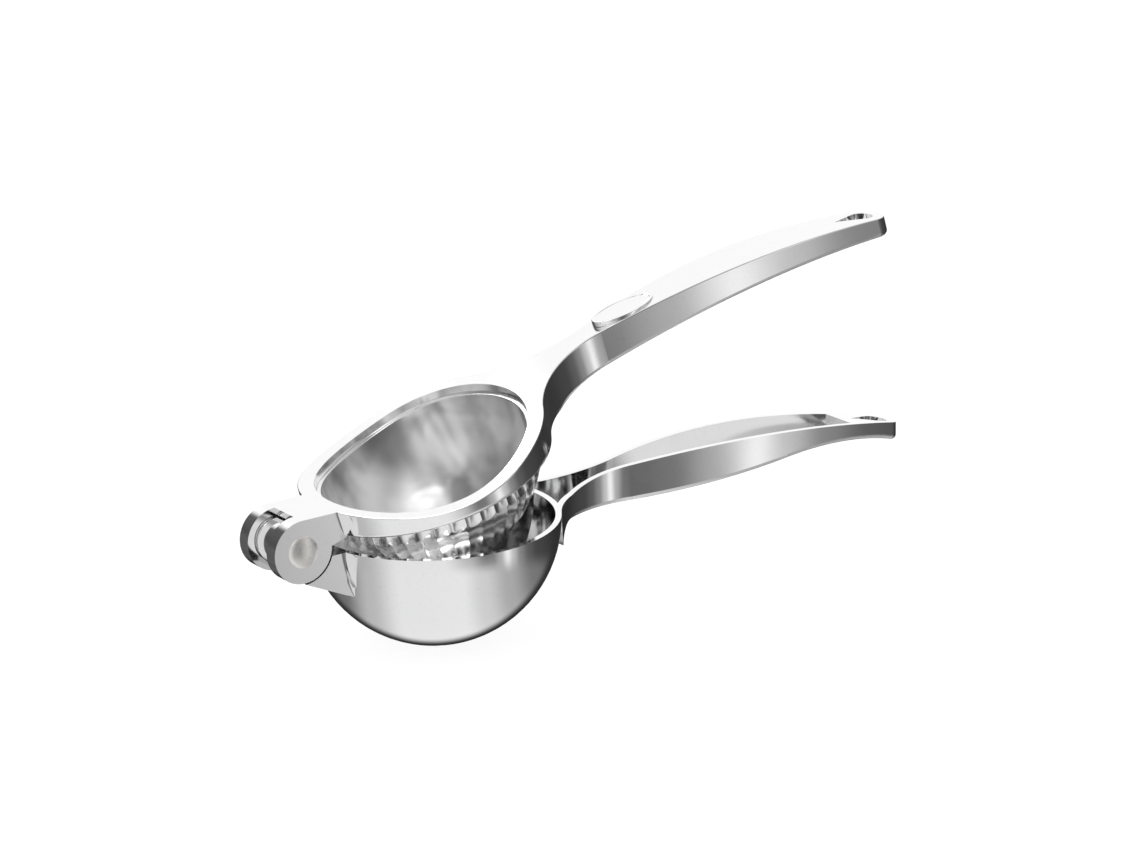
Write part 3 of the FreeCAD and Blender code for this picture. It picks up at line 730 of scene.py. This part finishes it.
class SQUEEZER_OT_rivet(bpy.types.Operator):
    """Model the rivet with a crowned near head and a dimpled far head"""
    bl_idname = "squeezer.rivet"
    bl_label = "Model the rivet"

    def execute(self, context):
        rivet = context.scene.squeezer_rivet
        low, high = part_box("hinge_pin")
        head = (high.x - low.x) / 2
        piece = start_primitive(
            bpy.ops.mesh.primitive_cylinder_add, "hinge_rivet", vertices=72, radius=head,
            depth=high.y - low.y, location=(low + high) / 2, rotation=(math.pi / 2, 0.0, 0.0))
        settle(piece)
        self.neck_down(piece, head)
        for end, side in ((low.y, -1), (high.y, 1)):
            self.crown(piece, end, side, head - rivet.edge, rivet)
        smooth(piece, 35.0)
        wear(piece, satin_steel("rivet_steel", rivet.colour, rivet.roughness))
        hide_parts("hinge_pin")
        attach(piece, "upper")
        return {"FINISHED"}

    def neck_down(self, piece, head):
        """Cuts the blank at the inner faces of the two heads and narrows what is between."""
        spots = [v.co for v in frame["nodes"]["hinge_pin"].data.vertices]
        shank = min(from_hinge(spot) for spot in spots)
        seat = min(abs(spot.y) for spot in spots if from_hinge(spot) > 0.5 * (shank + head))
        for level in (seat, -seat):
            in_edit(piece, pick_all, lambda: bpy.ops.mesh.bisect(
                plane_co=(0, level, 0), plane_no=(0, 1, 0)))
        pick_faces(piece, lambda face: abs(face.center.y) < seat and abs(face.normal.y) < 0.5)
        in_edit(piece, lambda: bpy.ops.mesh.extrude_region_shrink_fatten(
            TRANSFORM_OT_shrink_fatten={"value": shank - head}))
        in_edit(piece, pick_all, face_outwards)

    def crown(self, piece, end, side, ring, rivet):
        """Rounds one head's rim outside a ring and crowns it; the far head gets its dimple."""
        pick_faces(piece, lambda face: face.normal.y * side > 0.9
                   and abs(face.center.y - end) < NEAR)
        in_edit(piece, lambda: bpy.ops.mesh.inset(thickness=rivet.edge, depth=0.0))
        for _ in range(CROWN_RINGS):
            in_edit(piece, lambda: bpy.ops.mesh.inset(
                thickness=ring / (CROWN_RINGS + 1), depth=0.0))
        for vertex in piece.data.vertices:
            if abs(vertex.co.y - end) > NEAR:
                continue
            out = from_hinge(vertex.co)
            fall = rivet.crown * (out / ring) ** 2
            if out > ring + NEAR:
                fall = rivet.crown + 0.5 * rivet.edge
            elif side > 0 and out < rivet.dimple_radius:
                fall += rivet.crown * (1.0 - (out / rivet.dimple_radius) ** 2)
            vertex.co.y -= side * fall


class SQUEEZER_OT_washers(bpy.types.Operator):
    """Break the edges of the two washers and finish them bright"""
    bl_idname = "squeezer.washers"
    bl_label = "Finish the washers"

    def execute(self, context):
        rivet = context.scene.squeezer_rivet
        steel = satin_steel("washer_steel", rivet.washer_colour, rivet.washer_roughness)
        for node in ("washer_near", "washer_far"):
            piece = merged_copy(node, f"bright_{node}")
            bevel_edges(piece, WASHER_EDGE, segments=3, angle=40.0)
            smooth(piece, 35.0)
            wear(piece, steel)
            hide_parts(node)
            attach(piece, "upper")
        return {"FINISHED"}


class SQUEEZER_OT_badge(bpy.types.Operator):
    """Model the blank oval badge with a raised rim round a sunk field"""
    bl_idname = "squeezer.badge"
    bl_label = "Model the badge"

    def execute(self, context):
        badge = context.scene.squeezer_badge
        plating = context.scene.squeezer_plating
        top, up = facing("badge", CUP_AXIS)
        under = facing("badge", -CUP_AXIS)[0]
        low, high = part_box("badge")
        lengthwise = Vector((up.z, 0.0, -up.x))
        reach = [v.co.dot(lengthwise) for v in frame["nodes"]["badge"].data.vertices]
        tilt = math.atan2(up.x, up.z)
        piece = start_primitive(
            bpy.ops.mesh.primitive_cylinder_add, "oval_badge", vertices=96, radius=0.5,
            depth=1.0, location=(top + under) / 2, rotation=(0.0, tilt, 0.0))
        piece.scale = (max(reach) - min(reach), high.y - low.y, (top - under).dot(up))
        settle(piece)
        pick_faces(piece, lambda face: face.normal.dot(up) > 0.9)
        in_edit(piece,
                lambda: bpy.ops.mesh.inset(thickness=badge.rim, depth=0.0),
                lambda: bpy.ops.mesh.inset(thickness=badge.sink, depth=-badge.sink))
        bevel_edges(piece, badge.edge, segments=4, angle=30.0)
        smooth(piece, 40.0)
        wear(piece, polished_plating("badge_plating", plating.colour, badge.roughness, badge.haze,
                                     plating.ripple, tilt))
        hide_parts("badge")
        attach(piece, "upper")
        return {"FINISHED"}


# ---------------------------------------------------------------- stage

class SQUEEZER_OT_stage(bpy.types.Operator):
    """Lay the floor, hang the surround and lights, and set up the camera"""
    bl_idname = "squeezer.stage"
    bl_label = "Set the stage"

    def execute(self, context):
        stage = context.scene.squeezer_stage
        self.right = Vector((math.cos(stage.azimuth), math.sin(stage.azimuth), 0.0))
        front = Vector((math.sin(stage.azimuth), -math.cos(stage.azimuth), 0.0))
        self.back = front * math.cos(stage.elevation)
        self.back.z = math.sin(stage.elevation)
        self.up = self.back.cross(self.right)
        context.scene.view_settings.view_transform = "Standard"
        self.floor(stage)
        self.surround(context.scene, stage)
        self.lights()
        self.camera(context.scene, stage)
        return {"FINISHED"}

    def floor(self, stage):
        """A pale floor, lit mostly by its own glow so that it stays even; metal doesn't mirror it."""
        low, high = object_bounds()
        floor = start_primitive(
            bpy.ops.mesh.primitive_plane_add, "floor", size=FLOOR_SIZE,
            location=((low.x + high.x) / 2, 0.0, low.z - FLOOR_GAP))
        settle(floor)
        nodes, shader, material = new_material("floor_paper")
        paper = [stage.floor_return * c for c in stage.floor_colour]
        shader.inputs["Base Color"].default_value = (*paper, 1.0)
        shader.inputs["Roughness"].default_value = FLOOR_ROUGHNESS
        shader.inputs["Emission Color"].default_value = (*stage.floor_colour, 1.0)
        shader.inputs["Emission Strength"].default_value = stage.floor_glow
        wear(floor, material)
        floor.visible_glossy = False
        floor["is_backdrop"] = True

    def surround(self, scene, stage):
        """An even white dome, and for glossy rays a studio with dark flags in its place."""
        world = bpy.data.worlds.new("surround")
        scene.world = world
        world.use_nodes = True
        nodes = Nodes(world.node_tree)
        dome = nodes.add("ShaderNodeBackground")
        dome.inputs["Color"].default_value = WHITE
        dome.inputs["Strength"].default_value = stage.fill
        mirrored = nodes.add("ShaderNodeBackground")
        mirrored.inputs["Strength"].default_value = stage.surround
        nodes.link(self.flagged_studio(nodes), mirrored.inputs["Color"])
        mix = nodes.add("ShaderNodeMixShader")
        nodes.link(nodes.add("ShaderNodeLightPath").outputs["Is Glossy Ray"], mix.inputs["Fac"])
        nodes.link(dome.outputs["Background"], mix.inputs[1])
        nodes.link(mirrored.outputs["Background"], mix.inputs[2])
        output = nodes.add("ShaderNodeOutputWorld")
        nodes.link(mix.outputs["Shader"], output.inputs["Surface"])

    def flagged_studio(self, nodes):
        """Brightness of the room by direction: a pale wall, a band over it, a part above that,
        white overhead and dark flags. It goes by the direction halfway between a ray and the
        stage's back, which is where a face points that mirrors the ray to the stage's camera.
        All of it is fixed in the room and stays there when the view moves."""
        direction = nodes.add("ShaderNodeTexCoord").outputs["Generated"]
        half = nodes.vector("ADD", direction, self.back)
        unit = nodes.add("ShaderNodeVectorMath", operation="NORMALIZE")
        nodes.link(half.outputs["Vector"], unit.inputs[0])
        aside = nodes.vector("DOT_PRODUCT", unit.outputs["Vector"], self.right).outputs["Value"]
        above = nodes.vector("DOT_PRODUCT", unit.outputs["Vector"], self.up).outputs["Value"]
        place = nodes.remap(aside, -1.0, 1.0, smooth=False)
        wall, band, upper = (
            nodes.ramp(place, [((side + 1.0) / 2.0, grey) for side, grey in stops])
            for stops in (WALL, BAND, UPPER))
        outwards = nodes.math("SQRT", nodes.total(nodes.math("MULTIPLY", aside, aside),
                                                  nodes.math("MULTIPLY", above, above)))
        flags = nodes.math("MULTIPLY", nodes.remap(outwards, *FLAG_REACH),
                           nodes.remap(above, *FLAG_TOP))
        result = nodes.blend(nodes.remap(above, *BAND_RISE), wall, band)
        result = nodes.blend(nodes.remap(above, *UPPER_RISE), result, upper)
        result = nodes.blend(flags, result, FLAG)
        return nodes.blend(nodes.remap(above, *WHITE_RISE), result, WHITE)

    def lights(self):
        """Two soft boxes, without shadows, whose gleams lie in the cup's hollow."""
        for name, offset, width, height, radiance in SOFT_BOXES:
            bpy.ops.object.select_all(action="DESELECT")
            bpy.ops.object.light_add(type="AREA", location=HINGE + Vector(offset))
            box = bpy.context.object
            box.name = name
            box.data.shape = "ELLIPSE"
            box.data.size = width
            box.data.size_y = height
            box.data.energy = radiance * math.pi * (math.pi / 4.0 * width * height)
            box.rotation_euler = (SOFT_BOX_AIM - Vector(offset)).to_track_quat("-Z", "Y").to_euler()
            box.visible_camera = False
            box.data.use_shadow = False

    def camera(self, scene, stage):
        """The camera, turned by the stage's angles and set back from the point it aims at."""
        across = self.right * math.cos(stage.roll) + self.up * math.sin(stage.roll)
        upright = self.up * math.cos(stage.roll) - self.right * math.sin(stage.roll)
        data = bpy.data.cameras.new("camera")
        camera = bpy.data.objects.new("camera", data)
        scene.collection.objects.link(camera)
        place = HINGE + Vector(stage.aim) + self.back * stage.distance
        turn = Matrix((across, upright, self.back)).transposed()
        camera.matrix_world = Matrix.Translation(place) @ turn.to_4x4()
        data.lens = stage.lens
        data.sensor_width = SENSOR
        data.clip_start, data.clip_end = CLIP
        scene.camera = camera


# ---------------------------------------------------------------- panel and registration

OPERATORS = (SQUEEZER_OT_arms, SQUEEZER_OT_cup, SQUEEZER_OT_rivet, SQUEEZER_OT_washers,
             SQUEEZER_OT_badge, SQUEEZER_OT_stage)
SETTINGS = {
    "squeezer_plating": PlatingSettings,
    "squeezer_cup": CupSettings,
    "squeezer_rivet": RivetSettings,
    "squeezer_badge": BadgeSettings,
    "squeezer_stage": StageSettings,
}


class SQUEEZER_PT_panel(bpy.types.Panel):
    """The squeezer's settings and build steps"""
    bl_label = "Citrus squeezer"
    bl_idname = "SQUEEZER_PT_panel"
    bl_space_type = "VIEW_3D"
    bl_region_type = "UI"
    bl_category = "Squeezer"

    def draw(self, context):
        for name, group in SETTINGS.items():
            box = self.layout.box()
            box.label(text=group.__doc__)
            for prop in group.__annotations__:
                box.prop(getattr(context.scene, name), prop)
        for operator in OPERATORS:
            self.layout.operator(operator.bl_idname)


def register():
    for group in SETTINGS.values():
        bpy.utils.register_class(group)
    for operator in OPERATORS:
        bpy.utils.register_class(operator)
    bpy.utils.register_class(SQUEEZER_PT_panel)
    for name, group in SETTINGS.items():
        setattr(bpy.types.Scene, name, bpy.props.PointerProperty(type=group))


def unregister():
    for name in SETTINGS:
        delattr(bpy.types.Scene, name)
    bpy.utils.unregister_class(SQUEEZER_PT_panel)
    for operator in reversed(OPERATORS):
        bpy.utils.unregister_class(operator)
    for group in reversed(tuple(SETTINGS.values())):
        bpy.utils.unregister_class(group)


def main():
    register()
    for operator in OPERATORS:
        family, step = operator.bl_idname.split(".")
        getattr(getattr(bpy.ops, family), step)()


if __name__ == "__main__":
    main()
